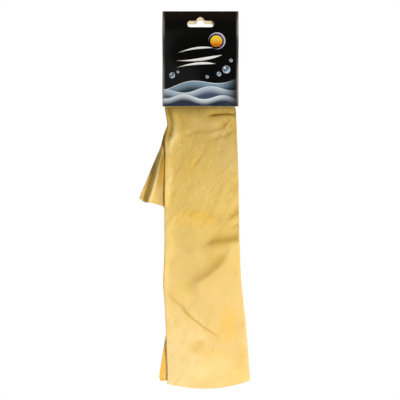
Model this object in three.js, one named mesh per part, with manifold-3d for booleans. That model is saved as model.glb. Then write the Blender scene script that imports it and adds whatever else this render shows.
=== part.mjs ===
// Chamois leather, folded lengthwise in three and held by a printed card sleeve with a hanging slot.
// Millimetres, +Z up, +X to the viewer's right, +Y away from the viewer.
// The origin is the top of the hanging slot, where a display peg bears.
import * as THREE from 'three';
import Module from 'manifold-3d';

const { clamp, lerp, smoothstep } = THREE.MathUtils;

// Clearance kept between pieces that touch
const GAP = 0.3;

// Card sleeve
const BOARD = 0.45;
const CARD_WIDTH = 90.9;
const CARD_TOP = 7.2;
const CARD_MOUTH = -107;
const FLAT_TO = -16;
const DEEPEST = -62;
const LAP = 12;
const LAP_RAMP = { width: 12, clear: 2 };
const GLUE = 0.12;
const GLUE_MARGIN = { card: 3, slot: 1, lap: 2 };
const CREASE = { flat: BOARD / 2 + GAP + GLUE / 2, deepest: 1.9, mouth: 1.1 };
const BULGE = { deepest: 4.4, mouth: 4.2 };

// Hanging slot: a bar with round ends and a round crown above its middle, which starts at an angle of lean
const SLOT = { width: 32, bar: 7.5, height: 12, crown: 4.9, shoulder: 7.5, lean: Math.PI / 9 };
const SLOT_CUT_DEPTH = 12;

// Skin: sheet thickness, and the heights where it begins, bends and ends
const SKIN = 0.8;
const SKIN_TOP = -36;
const MOUTH_BEND = { z: -127, half: 5 };
const MID_BEND = { z: -271, half: 8.5 };
const INNER_EDGE = 20;

// Skin outlines as [z, x], from the lowest point up
const LEFT_FOLD = [[-439, -39.6], [-399, -40.8], [-375, -42], [-327, -45], [-267, -43.8], [-147, -43.2],
  [-129, -39], [-111, -42], [CARD_MOUTH, -39.6], [SKIN_TOP, -36]];
const RIGHT_FOLD = [[-436, 59.5], [-363, 54.6], [-303, 49.8], [-267, 47.4], [-219, 45], [-111, 42.4],
  [CARD_MOUTH, 39.6], [SKIN_TOP, 36]];
const BACK_EDGE = [[-436, -49.2], [-381, -41.4], [-370, -38], [-233, -40], [-227, -45], [-143, -45],
  [-125, -38], [CARD_MOUTH, -31], [SKIN_TOP, -26]];

// Distance of the front and back leaves from the inner leaf, as [z, y]
const LEAF_PITCH = [[-445, 2.4], [-300, 2.2], [-262, 2], [-227, 2.2], [-140, 2.2], [-127, 2.4],
  [CARD_MOUTH, 3.2], [DEEPEST, 3], [SKIN_TOP, 1.5]];

// Depth of the back leaf along its free edge
const BACK_EDGE_DEPTH = 1.8;

// Fold radii and the left fold's depth, as [z, mm]: tight in the sleeve, loose rolls below it
const LEFT_RADIUS = [[-150, 2], [-125, 1.1], [CARD_MOUTH, 0.7]];
const LEFT_DEPTH = [[-150, -2], [-125, -0.8], [CARD_MOUTH, -0.1]];
const RIGHT_RADIUS = [[-150, 1.8], [-125, 1.2], [CARD_MOUTH, 0.8]];

// Width over which a leaf settles from a fold to its own layer, as [z, mm]
const FOLD_BLEND = [[-150, 9], [-125, 14], [CARD_MOUTH, 20]];

// Lower edges: the front leaf's is an arc, the others hang a little higher
const FRONT_BOTTOM = { lowest: -445, x: 5.4, left: -439, right: -436 };
const INNER_BOTTOM = -430;
const BACK_BOTTOM = { z: -435, corner: 4, cornerFrom: 0.75 };

// Main folds of the front leaf as lines of [x, z]: height towards the viewer and half width.
// They fade in over a short drop under the sleeve.
const FOLDS = [
  { line: [[-35, -108], [-26, -133], [-30, -152], [-38, -178]], height: 2.4, width: 9 },
  { line: [[-20, -140], [12, -148], [44, -138]], height: 1.2, width: 12 },
  { line: [[-28, -238], [10, -246], [46, -240]], height: 1.6, width: 13 },
  { line: [[52, -261], [36, -263], [6, -274], [-20, -281]], height: -0.8, width: 9 },
  { line: [[46, -272], [32, -294], [14, -317], [-6, -340]], height: 2.6, width: 14 },
  { line: [[-34, -335], [-10, -357], [20, -383]], height: 2.6, width: 10 },
  { line: [[-30, -412], [10, -420], [46, -410]], height: 1, width: 16 },
];
const FOLD_FADE = 10;

// Flap: a leg of the hide that leaves the back leaf, with one pleat along it
const FLAP_HINGE_X = -46.6;
const FLAP_BEND = 1.6;
const FLAP_UPPER = [[-73.2, -216.8], [-45, -143]];
const FLAP_LOWER = [[-73.2, -216.8], [-65.4, -224], [-45, -227]];
const FLAP_TIP_X = -72.4;
const PLEAT = { from: [-44, -150], to: [-63.6, -224], height: 4.2, width: 7 };

// Mesh steps
const SKIN_COLUMNS = { inner: 3, fold: 4, front: 17, back: 5 };
const SKIN_ROWS = { mouthBend: 3, drop: 17, midBend: 3, tail: 17 };
const NECK_LEVELS = [SKIN_TOP, -49, DEEPEST, -77, -92, CARD_MOUTH, -111, -116];
const FLAP_STEPS = { columns: 10, rows: 8, bend: 2 };
const SLEEVE_COLUMNS = { crease: 4, panel: 12, lap: 10, glue: 3 };
const ARC_STEPS = 6;
const SLEEVE_LEVELS = [CARD_TOP, FLAT_TO, -22, -28, -34, -42, -52, DEEPEST, -77, -92, CARD_MOUTH];

const wasm = await Module();
wasm.setup();

const leather = new THREE.MeshStandardMaterial({ color: 0xdfb75e, roughness: 0.95 });
const board = new THREE.MeshStandardMaterial({ color: 0x0b0d0c, roughness: 0.25 });
const glue = new THREE.MeshStandardMaterial({ color: 0xe9e1c8, roughness: 0.5 });

const steps = (count) => Array.from({ length: count + 1 }, (_, i) => i / count);

// Value at a place along a list of [place, value] points that rises by place
function along(points, place) {
  const last = points.length - 1;
  if (place <= points[0][0]) return points[0][1];
  if (place >= points[last][0]) return points[last][1];
  const next = points.findIndex((point) => point[0] > place);
  const [a, b] = [points[next - 1], points[next]];
  return lerp(a[1], b[1], (place - a[0]) / (b[0] - a[0]));
}

// Closed sheet of even thickness round a grid of mid-surface points
function sheetSolid(grid, thickness) {
  const rows = grid.length;
  const columns = grid[0].length;
  const positions = [];
  const index = [];
  const across = new THREE.Vector3();
  const down = new THREE.Vector3();
  const at = (r, c) => grid[clamp(r, 0, rows - 1)][clamp(c, 0, columns - 1)];
  const sides = [];
  for (const side of [1, -1]) {
    const ids = [];
    for (let r = 0; r < rows; r++) {
      ids.push([]);
      for (let c = 0; c < columns; c++) {
        across.subVectors(at(r, c + 1), at(r, c - 1));
        down.subVectors(at(r + 1, c), at(r - 1, c));
        const point = across.cross(down).normalize().multiplyScalar(side * thickness / 2).add(at(r, c));
        ids[r].push(positions.length / 3);
        positions.push(point.x, point.y, point.z);
      }
    }
    sides.push(ids);
  }
  const [front, back] = sides;
  const quad = (a, b, c, d) => index.push(a, b, c, a, c, d);
  for (let r = 0; r < rows - 1; r++) {
    for (let c = 0; c < columns - 1; c++) {
      quad(front[r][c], front[r][c + 1], front[r + 1][c + 1], front[r + 1][c]);
      quad(back[r + 1][c], back[r + 1][c + 1], back[r][c + 1], back[r][c]);
    }
  }
  const [lastRow, lastColumn] = [rows - 1, columns - 1];
  for (let c = 0; c < lastColumn; c++) {
    quad(front[0][c + 1], front[0][c], back[0][c], back[0][c + 1]);
    quad(front[lastRow][c], front[lastRow][c + 1], back[lastRow][c + 1], back[lastRow][c]);
  }
  for (let r = 0; r < lastRow; r++) {
    quad(front[r][0], front[r + 1][0], back[r + 1][0], back[r][0]);
    quad(front[r + 1][lastColumn], front[r][lastColumn], back[r][lastColumn], back[r + 1][lastColumn]);
  }
  return indexed(positions, index);
}

function indexed(positions, index) {
  const geometry = new THREE.BufferGeometry();
  geometry.setAttribute('position', new THREE.Float32BufferAttribute(positions, 3));
  geometry.setIndex(index);
  geometry.computeVertexNormals();
  return geometry;
}

// Card sleeve: crease radius and bulge at a height, and the panel width that keeps the girth the same
const FLAT_HALF = CARD_WIDTH / 2 - BOARD / 2 - CREASE.flat;
const HALF_GIRTH = 2 * FLAT_HALF + Math.PI * CREASE.flat;

function sleeveAt(z) {
  const open = smoothstep(-z, -FLAT_TO, -DEEPEST);
  const close = smoothstep(-z, -DEEPEST, -CARD_MOUTH);
  const crease = lerp(lerp(CREASE.flat, CREASE.deepest, open), CREASE.mouth, close);
  const bulge = lerp(BULGE.deepest * open, BULGE.mouth, close);
  const arcExcess = (4 / 3) * bulge ** 2 / FLAT_HALF;
  const half = (HALF_GIRTH - Math.PI * crease - arcExcess) / 2;
  return { crease, bulge, half };
}

const panelDepth = ({ crease, bulge, half }, x) => crease + bulge * (1 - (x / half) ** 2);
const LAP_STEP = BOARD + GLUE + 2 * GAP;
const LAP_RAMP_END = -LAP / 2 - LAP_RAMP.clear;
const lapStep = (x) => LAP_STEP * smoothstep(x, LAP_RAMP_END - LAP_RAMP.width, LAP_RAMP_END);

// The sheet's path round the sleeve: back panel's inner end, right crease, front, left crease, outer lap
function sleeveRow(z) {
  const section = sleeveAt(z);
  const { crease, half } = section;
  const row = [];
  const add = (x, y) => row.push(new THREE.Vector3(x, y, z));
  const turn = (centre, from, to) => steps(SLEEVE_COLUMNS.crease).slice(1, -1).forEach((f) => {
    const angle = lerp(from, to, f);
    add(centre + crease * Math.cos(angle), crease * Math.sin(angle));
  });
  for (const f of steps(SLEEVE_COLUMNS.lap)) {
    const x = lerp(-LAP / 2, half, f);
    add(x, panelDepth(section, x));
  }
  turn(half, Math.PI / 2, -Math.PI / 2);
  for (const f of steps(SLEEVE_COLUMNS.panel)) {
    const x = lerp(half, -half, f);
    add(x, -panelDepth(section, x));
  }
  turn(-half, -Math.PI / 2, -3 * Math.PI / 2);
  for (const f of steps(SLEEVE_COLUMNS.lap)) {
    const x = lerp(-half, LAP / 2, f);
    add(x, panelDepth(section, x) + lapStep(x));
  }
  return row;
}

// Slot outline in x and z, grown all round by a margin
function slotOutline(margin, path) {
  const radius = SLOT.bar / 2 + margin;
  const end = SLOT.width / 2 - SLOT.bar / 2;
  const middle = -SLOT.height + SLOT.bar / 2;
  const crown = SLOT.crown + margin;
  const neck = [crown * Math.cos(SLOT.lean), -SLOT.crown + crown * Math.sin(SLOT.lean)];
  const shoulder = SLOT.shoulder + margin;
  path.moveTo(-end, middle - radius);
  path.lineTo(end, middle - radius);
  path.absarc(end, middle, radius, -Math.PI / 2, Math.PI / 2);
  path.lineTo(shoulder, middle + radius);
  path.quadraticCurveTo(neck[0], middle + radius, neck[0], neck[1]);
  path.absarc(0, -SLOT.crown, crown, SLOT.lean, Math.PI - SLOT.lean);
  path.quadraticCurveTo(-neck[0], middle + radius, -shoulder, middle + radius);
  path.lineTo(-end, middle + radius);
  path.absarc(-end, middle, radius, Math.PI / 2, 3 * Math.PI / 2);
  return path;
}

// Extrusion of an outline in x and z, centred on a depth
function upright(shape, depth, y = 0) {
  const geometry = new THREE.ExtrudeGeometry(shape, { depth, bevelEnabled: false, curveSegments: ARC_STEPS });
  return geometry.rotateX(Math.PI / 2).translate(0, y + depth / 2, 0);
}

function toManifold(geometry) {
  const source = geometry.index ? geometry.toNonIndexed() : geometry;
  const mesh = new wasm.Mesh({
    numProp: 3,
    vertProperties: new Float32Array(source.attributes.position.array),
    triVerts: Uint32Array.from({ length: source.attributes.position.count }, (_, i) => i),
  });
  mesh.merge();
  return new wasm.Manifold(mesh);
}

function cut(geometry, tool) {
  const mesh = toManifold(geometry).subtract(toManifold(tool)).getMesh();
  return indexed(Array.from(mesh.vertProperties), Array.from(mesh.triVerts));
}

function headerSleeve() {
  const grid = SLEEVE_LEVELS.map((z) => sleeveRow(z));
  return cut(sheetSolid(grid, BOARD), upright(slotOutline(0, new THREE.Shape()), SLOT_CUT_DEPTH));
}

function topGlue() {
  const half = FLAT_HALF - GLUE_MARGIN.card;
  const [low, high] = [FLAT_TO + GLUE_MARGIN.card / 2, CARD_TOP - GLUE_MARGIN.card];
  const film = new THREE.Shape();
  film.moveTo(-half, low);
  film.lineTo(half, low);
  film.lineTo(half, high);
  film.lineTo(-half, high);
  film.holes.push(slotOutline(GLUE_MARGIN.slot, new THREE.Path()));
  return upright(film, GLUE);
}

function lapGlue() {
  const half = LAP / 2 - GLUE_MARGIN.lap;
  const levels = SLEEVE_LEVELS.filter((z) => z < FLAT_TO);
  levels[levels.length - 1] += GLUE_MARGIN.lap;
  const grid = levels.map((z) => steps(SLEEVE_COLUMNS.glue).map((f) => {
    const x = lerp(half, -half, f);
    return new THREE.Vector3(x, panelDepth(sleeveAt(z), x) + LAP_STEP / 2, z);
  }));
  return sheetSolid(grid, GLUE);
}

// Distance from a place to a line of points
function distanceTo(line, x, z) {
  const toSegment = line.slice(1).map((b, i) => {
    const a = line[i];
    const [dx, dz] = [b[0] - a[0], b[1] - a[1]];
    const on = clamp(((x - a[0]) * dx + (z - a[1]) * dz) / (dx * dx + dz * dz), 0, 1);
    return Math.hypot(x - a[0] - on * dx, z - a[1] - on * dz);
  });
  return Math.min(...toSegment);
}

// Height of the front leaf's folds at a place
function foldHeight(x, z) {
  const heights = FOLDS.map(({ line, height, width }) => {
    return height * smoothstep(width - distanceTo(line, x, z), 0, width);
  });
  return heights.reduce((sum, height) => sum + height, 0);
}

// Fold centres and leaf depths of the skin at a height
function skinAt(z) {
  const leftRadius = along(LEFT_RADIUS, z);
  const rightRadius = along(RIGHT_RADIUS, z);
  return {
    leftRadius,
    rightRadius,
    leftX: along(LEFT_FOLD, z) + SKIN / 2 + leftRadius,
    rightX: along(RIGHT_FOLD, z) - SKIN / 2 - rightRadius,
    leftY: along(LEFT_DEPTH, z),
    backX: along(BACK_EDGE, z),
    pitch: along(LEAF_PITCH, z),
    blend: along(FOLD_BLEND, z),
  };
}

// The three leaves' depths: each leaves its fold level and settles at its own layer
function innerDepth(skin, x) {
  return lerp(skin.leftY + skin.leftRadius, 0, smoothstep(x, skin.leftX, skin.leftX + skin.blend));
}

function frontDepth(skin, x, z) {
  const left = smoothstep(x, skin.leftX, skin.leftX + skin.blend);
  const right = smoothstep(x, skin.rightX - skin.blend, skin.rightX);
  const flat = lerp(skin.leftY - skin.leftRadius, -skin.pitch, left);
  const level = lerp(flat, -skin.rightRadius, right);
  const free = smoothstep(-z, -CARD_MOUTH, -CARD_MOUTH + FOLD_FADE);
  return level - foldHeight(x, z) * left * (1 - right) * free;
}

function backDepth(skin, x) {
  const left = smoothstep(x, skin.leftX, skin.leftX + skin.blend);
  const right = smoothstep(x, skin.rightX - skin.blend, skin.rightX);
  const edge = Math.min(BACK_EDGE_DEPTH, skin.pitch);
  return lerp(lerp(edge, skin.pitch, left), skin.rightRadius, right);
}

// The columns of the skin, from the inner leaf's free edge round to the back leaf's
function skinColumns() {
  const { inner, fold, front, back } = SKIN_COLUMNS;
  return [
    ...steps(inner).map((f) => ({ leaf: 'inner', f })),
    ...steps(fold).slice(1, -1).map((f) => ({ leaf: 'leftFold', f })),
    ...steps(front).map((f) => ({ leaf: 'front', f })),
    ...steps(fold).slice(1, -1).map((f) => ({ leaf: 'rightFold', f })),
    ...steps(back).map((f) => ({ leaf: 'back', f })),
  ];
}

function skinPoint({ leaf, f }, z) {
  const skin = skinAt(z);
  const { leftX, rightX, backX, leftY, leftRadius, rightRadius } = skin;
  const turn = Math.PI * f;
  const x = {
    inner: lerp(INNER_EDGE, leftX, f),
    leftFold: leftX - leftRadius * Math.sin(turn),
    front: lerp(leftX, rightX, f),
    rightFold: rightX + rightRadius * Math.sin(turn),
    back: lerp(rightX, backX, f),
  }[leaf];
  const y = {
    inner: innerDepth(skin, x),
    leftFold: leftY + leftRadius * Math.cos(turn),
    front: frontDepth(skin, x, z),
    rightFold: -rightRadius * Math.cos(turn),
    back: backDepth(skin, x),
  }[leaf];
  return new THREE.Vector3(x, y, z);
}

// Lower end of a column: an arc under the front leaf, and higher ends behind it
function skinBottom({ leaf, f }) {
  const { lowest, x: lowestX, left, right } = FRONT_BOTTOM;
  const x = skinPoint({ leaf, f }, right).x;
  const side = x < lowestX ? [left, along(LEFT_FOLD, left)] : [right, along(RIGHT_FOLD, right)];
  const arc = lowest + (side[0] - lowest) * ((x - lowestX) / (side[1] - lowestX)) ** 2;
  return {
    inner: lerp(INNER_BOTTOM, left, f),
    leftFold: left,
    front: arc,
    rightFold: right,
    back: lerp(right, BACK_BOTTOM.z, f) + BACK_BOTTOM.corner * smoothstep(f, BACK_BOTTOM.cornerFrom, 1) ** 2,
  }[leaf];
}

// A stretch of the skin between two heights, with a row at each level
function skinStretch(levels) {
  const columns = skinColumns();
  return sheetSolid(levels.map((z) => columns.map((column) => skinPoint(column, z))), SKIN);
}

const levelsBetween = (top, bottom, rows) => steps(rows).map((v) => lerp(top, bottom, v));

// The lowest stretch, whose columns end on the lower edge
function skinTail(top, rows) {
  const columns = skinColumns();
  const grid = steps(rows).map((v) => columns.map((column) => {
    const z = lerp(top, skinBottom(column), v);
    return skinPoint(column, z);
  }));
  return sheetSolid(grid, SKIN);
}

// Flap: depth of its pleat, and its sheet between two x places
function pleatDepth(x, z) {
  const { from, to, height, width } = PLEAT;
  const ridgeX = lerp(from[0], to[0], (z - from[1]) / (to[1] - from[1]));
  const rise = smoothstep(-z, -from[1], -to[1]);
  return height * rise * smoothstep(width - Math.abs(x - ridgeX), 0, width);
}

function flapPiece(from, to, columns) {
  const grid = steps(FLAP_STEPS.rows).map((v) => steps(columns).map((f) => {
    const x = lerp(to, from, f);
    const z = lerp(along(FLAP_UPPER, x), along(FLAP_LOWER, x), v);
    const away = smoothstep(-x, -FLAP_HINGE_X, -FLAP_HINGE_X + PLEAT.width);
    return new THREE.Vector3(x, BACK_EDGE_DEPTH - pleatDepth(x, z) * away, z);
  }));
  return sheetSolid(grid, SKIN);
}

function named(name, geometry, material) {
  const mesh = new THREE.Mesh(geometry, material);
  mesh.name = name;
  return mesh;
}

const mouthTop = MOUTH_BEND.z + MOUTH_BEND.half;
const mouthLow = MOUTH_BEND.z - MOUTH_BEND.half;
const midTop = MID_BEND.z + MID_BEND.half;
const midLow = MID_BEND.z - MID_BEND.half;
const flapBendFrom = FLAP_HINGE_X + FLAP_BEND;
const flapBendTo = FLAP_HINGE_X - FLAP_BEND;

const header = new THREE.Group();
header.add(named('header_sleeve', headerSleeve(), board));
header.add(named('top_glue', topGlue(), glue));
header.add(named('lap_glue', lapGlue(), glue));

const skin = new THREE.Group();
const neckLevels = [...NECK_LEVELS, mouthTop + GAP];
const mouthLevels = levelsBetween(mouthTop, mouthLow, SKIN_ROWS.mouthBend);
const dropLevels = levelsBetween(mouthLow - GAP, midTop + GAP, SKIN_ROWS.drop);
const midLevels = levelsBetween(midTop, midLow, SKIN_ROWS.midBend);
skin.add(named('leather_neck', skinStretch(neckLevels), leather));
skin.add(named('leather_mouth_bend', skinStretch(mouthLevels), leather));
skin.add(named('leather_drop', skinStretch(dropLevels), leather));
skin.add(named('leather_mid_bend', skinStretch(midLevels), leather));
skin.add(named('leather_tail', skinTail(midLow - GAP, SKIN_ROWS.tail), leather));
skin.add(named('leather_flap_bend', flapPiece(flapBendFrom - GAP, flapBendTo, FLAP_STEPS.bend), leather));
skin.add(named('leather_flap', flapPiece(flapBendTo - GAP, FLAP_TIP_X, FLAP_STEPS.columns), leather));

const chamois = new THREE.Group();
chamois.add(header, skin);

export default chamois;
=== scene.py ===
# Looks of a chamois leather that hangs, folded in three, in a printed card sleeve.
# Named sizes are in millimetres in the frame's axes: +X right, +Y away from the viewer, +Z up.
import math

import bmesh
import bpy
import numpy as np
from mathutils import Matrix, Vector


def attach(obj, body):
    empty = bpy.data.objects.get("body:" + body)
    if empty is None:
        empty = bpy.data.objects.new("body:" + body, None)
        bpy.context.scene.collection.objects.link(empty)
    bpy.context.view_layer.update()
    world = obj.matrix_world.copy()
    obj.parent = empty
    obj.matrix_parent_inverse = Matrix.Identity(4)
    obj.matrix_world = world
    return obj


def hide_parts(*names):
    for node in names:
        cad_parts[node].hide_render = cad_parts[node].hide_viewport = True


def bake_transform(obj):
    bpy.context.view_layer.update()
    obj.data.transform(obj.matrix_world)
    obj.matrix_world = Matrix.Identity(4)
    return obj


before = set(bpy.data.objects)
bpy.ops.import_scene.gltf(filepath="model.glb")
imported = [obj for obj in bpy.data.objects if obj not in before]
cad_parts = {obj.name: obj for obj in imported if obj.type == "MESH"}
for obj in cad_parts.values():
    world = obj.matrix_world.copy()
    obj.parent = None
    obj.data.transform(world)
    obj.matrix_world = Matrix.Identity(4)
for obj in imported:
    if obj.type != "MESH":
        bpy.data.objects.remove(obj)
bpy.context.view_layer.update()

MM = 0.001
WHITE = (1.0, 1.0, 1.0)

# Card sleeve, as the frame has it
BOARD = 0.45
CARD_WIDTH = 90.9
CARD_TOP = 7.2
CARD_MOUTH = -107.0
FLAT_TO = -16.0
DEEPEST = -62.0
LAP = 12.0
LAP_RAMP = 12.0
LAP_STEP = 0.6
LAP_LANDING = 2.0
CREASE = [(7.2, 0.34), (2, 0.5), (-13, 1.6), (-40, 1.0), (-54, 1.2), (-80, 1.9), (-98, 1.4),
          (CARD_MOUTH, 1.1)]
CREASE_SPREAD = 2.4
CREASE_SOFT = 8.0
CREASE_GIRTH = 0.6
BULGE_DEEPEST, BULGE_MOUTH = 4.4, 4.2
TOP_LEVELS = [CARD_TOP, 4, 0, -4, -8, -12]
SLEEVE_ROWS = 56
TURN_STEPS, INNER_STEPS, FRONT_STEPS, OUTER_STEPS = 25, 34, 61, 40
PRINTED, INSIDE, CUT_EDGE = 0, 1, 2
HARD_ANGLE = math.radians(50)

# Hanging slot, and how far the back panel's slot sits below the front's
SLOT_WIDTH, SLOT_HEIGHT, SLOT_BAR = 32.0, 12.0, 7.5
SLOT_CROWN, SLOT_SHOULDER, SLOT_NECK = 4.9, 7.5, math.pi / 9
END_STEPS, SHOULDER_STEPS, CROWN_STEPS = 17, 7, 11
BACK_SLOT_DROP = 3.6
CUTTER_DEPTH = 6.0

# Print of the front panel: sun, brush strokes, drops and waves on black, and a painted sheen on the black
# towards the lower right
BLACK, BLACK_TOP, CORNER_SHEEN = (0.0032, 0.0036, 0.0034), (0.011, 0.008, 0.006), (0.024, 0.019, 0.018)
TOP_OVER, CORNER_SHEEN_ACROSS, CORNER_SHEEN_DOWN = (-14, 8), (8, 44), (-70, -104)
SUN_AT, SUN_RADIUS, SUN_RING = (19.0, -29.0), 7.2, 9.4
SUN_HIGH, SUN_LOW = (0.93, 0.66, 0.05), (0.80, 0.20, 0.015)
SUN_OVER, SUN_LINES, LINE_DEPTH, LINE_THIN = (-0.8, 0.7), 2.6, 0.4, 0.22
LINE_FADE, LINE_OVER = 0.5, (-0.9, 0.5)
RING_HALF, RING_SWELL, RING_OVER = 0.65, (0.07, 0.05), (-0.5, 0.5)
RING_INNER, RING_OUTER = (0.10, 0.07, 0.30), (0.66, 0.64, 0.72)
# Strokes: centre, half length, thickness, rise and arch
STROKES = [((-6, -40), 21, 1.9, 3.0, 2.4), ((-1, -49), 27, 2.6, 3.4, -2.2), ((-5, -58.5), 23, 2.1, 2.2, 2.2)]
STROKE_LIGHT, STROKE_SHADE = (0.93, 0.93, 0.91), (0.62, 0.64, 0.66)
STROKE_LEFT, STROKE_SWELL, STROKE_LIT = 0.65, 0.35, 0.2
# Waves: level of the crest, its swing, length, phase and tilt, the depth of the water, its light and its dark
WAVES = [
    (-79, (3.4, 74, 2.6, 0.12), 12, (0.22, 0.34, 0.44), (0.012, 0.022, 0.034)),
    (-87, (3.0, 58, 0.4, 0.05), 10, (0.46, 0.55, 0.66), (0.05, 0.08, 0.13)),
    (-96, (2.6, 47, 4.2, -0.02), 8, (0.62, 0.69, 0.78), (0.02, 0.03, 0.05)),
]
FOAM, FOAM_OVER = (0.86, 0.91, 0.95), (0.35, 0.8)
WAVE_LIGHT_TO = 0.6
WAVE_FADE = (46, 20)
# Drops: centre and radius
DROPS = [((31, -63), 4.6), ((22, -68.5), 2.6), ((36.5, -52), 2.1), ((-34, -70), 3.4), ((-27, -66), 1.6),
         ((8, -72), 1.9)]
DROP_DEEP, DROP_LIGHT, DROP_RIM = (0.05, 0.10, 0.17), (0.45, 0.58, 0.70), (0.70, 0.80, 0.88)
DROP_SPARK, SPARK_AT, SPARK_RADIUS = (0.97, 0.98, 1.0), (-0.35, 0.4), 0.24
DROP_LIGHT_FROM, DROP_LIT = (-0.6, 0.8), (0.2, -0.9)
RIM_OVER, RIM_SHARE = (0.82, 0.95), 0.8

# Gloss of the print, and the painted reflection along its side creases: heights where the painted reflection
# is strongest, and how far it reaches
SIDE_SHEEN_COLOUR, SIDE_SHEEN_LEAST, SIDE_SHEEN_OVER = (0.36, 0.35, 0.32), 0.3, (42.0, 46.0)
SIDE_SHEEN_BANDS = [(-12, (18, 4)), (-78, (34, 8))]
GLOSS, SCUFF_DULL, SCUFF_OVER = 0.16, 0.1, (0.45, 0.75)
CREAM, CUT_CREAM, FIBRE_SHADE = (0.83, 0.72, 0.50), (0.80, 0.74, 0.62), 0.8
FIBRE_OVER, BOARD_ROUGH = (0.3, 0.6), 0.85
FRONT_OVER = (0, -0.1)
# Bumps of the card and the board: depth and strength
CARD_BUMP, FIBRE_BUMP = (0.3, 0.2), (0.05, 0.5)

# Skin: its folds and edges as (z, x), and its depths and radii as (z, size)
SKIN = 0.8
SKIN_TOP = -36.0
INNER_EDGE = 20.0
SEAM = -200.0
LEFT_CORNER, RIGHT_CORNER = -39.6, 59.5
LEFT_FOLD = [(-439, LEFT_CORNER), (-399, -40.8), (-375, -41.4), (-353, -42.5), (-327, -44.4), (-316, -44.6),
             (-291, -43.4), (-270, -42.8), (-222, -43.1), (-147, -43.2), (-131, -39.4), (-122, -40.6),
             (-111, -42.9), (CARD_MOUTH, -42.9), (SKIN_TOP, -36)]
RIGHT_FOLD = [(-436, RIGHT_CORNER), (-385, 56.1), (-363, 54.1), (-327, 49.8), (-303, 47.9), (-267, 46.8),
              (-219, 46), (-176, 45.1), (-111, 42.6), (CARD_MOUTH, 41.4), (SKIN_TOP, 36)]
BACK_EDGE = [(-436, -50.3), (-399, -44.6), (-381, -41.5), (-370, -38), (-233, -40), (-227, -45), (-143, -45),
             (-125, -38), (-107, -31), (SKIN_TOP, -26)]
LEAF_PITCH = [(-445, 2.4), (-300, 2.2), (-262, 2), (-227, 2.2), (-140, 2.2), (-127, 2.4), (-107, 3.2),
              (DEEPEST, 3), (SKIN_TOP, 1.5)]
LEFT_RADIUS = [(-445, 0.45), (-340, 0.5), (-300, 0.7), (-255, 0.55), (-215, 0.55), (-190, 1.2), (-150, 1.7),
               (-125, 1.5), (-114, 0.8), (CARD_MOUTH, 0.5)]
LEFT_DEPTH = [(-445, -2.2), (-390, -2.4), (-330, -3), (-300, -3.5), (-255, -3.9), (-215, -3.9), (-190, -3.3),
              (-150, -2.9), (-125, -1.2), (-114, -0.5), (CARD_MOUTH, 0)]
RIGHT_RADIUS = [(-150, 1.1), (-125, 1.1), (CARD_MOUTH, 0.8)]
RIGHT_DEPTH = [(-445, -1.5), (-150, -1.9), (-125, -2.4), (-114, -1.8), (CARD_MOUTH, 0)]
LEFT_BLEND = [(-300, 9), (-200, 10), (-160, 12), (-140, 13), (-116, 12), (CARD_MOUTH, 20)]
RIGHT_BLEND = [(-150, 8), (-116, 9), (CARD_MOUTH, 20)]
BELLY = [(-445, 0.4), (-300, 0.7), (-220, 0.8), (-160, 0.9), (-130, 1.8), (-116, 2.2), (-109, 0.7),
         (CARD_MOUTH, 0)]
FOLD_SOFT, EDGE_SOFT, CARD_SOFT, BACK_SOFT, PITCH_SOFT, BELLY_SOFT = 3, 7.0, 1.0, 2, 8, 2
IN_CARD = CARD_MOUTH - 3
FOLD_SHARPNESS = 1.8
BACK_EDGE_DEPTH = 1.8
BACK_SAG, BACK_FREE_AFTER = 0.3, 12
STRIP_FROM, STRIP_REACH, STRIP_FORWARD = -370.0, 40, 2.2
STRIP_STEP = (3, 1.5)
FRONT_LOWEST = (5.4, -445.0)
LEFT_BOTTOM, RIGHT_BOTTOM, INNER_BOTTOM, BACK_BOTTOM = -439.0, -435.2, -430.0, -435.7
CORNER_RISE, CORNER_OVER = 4.4, (0.975, 1.005)
BACK_CROWDING = 0.7
HIDDEN_ROWS, UPPER_ROWS, LOWER_ROWS = 16, 82, 200
RIM_ROUND = 0.5

# Unevenness of the skin as layers of noise: height, cell and seed
WAVER = (0.45, 21, 2)
WAVER_OVER = (112, 130)
FOLD_WAVER = (0.4, 20, 8)
WANDER_X, WANDER_Z = (1.1, 14, 3), (1.1, 14, 4)
FRONT_UNEVEN = [(0.45, 27, 5), (0.16, 9, 7)]
INNER_UNEVEN = [(0.12, 24, 21)]
BACK_UNEVEN = [(0.45, 23, 31), (0.15, 8, 33)]
FLAP_UNEVEN = [(0.25, 12, 41)]
LATTICE = 64

# Ripples along the skin's fibres, which lean from the vertical to the right: their stretch and noise layer.
# They fade out downwards
LEAN = math.radians(32)
RIPPLES = [(0.3, (1, 4.6, 11)), (0.4, (0.6, 2.6, 12))]
RIPPLE_HEIGHT, RIPPLE_LEAST, RIPPLE_MOST = 0.45, 0.05, 0.37
ROUGH_OVER = (-285, -235)
RIPPLES_BELOW = (124, 142)
LOWER_UNEVEN, UNEVEN_OVER = 0.22, (-330, -250)
RELIEF_STARTS_OVER = 5
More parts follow.
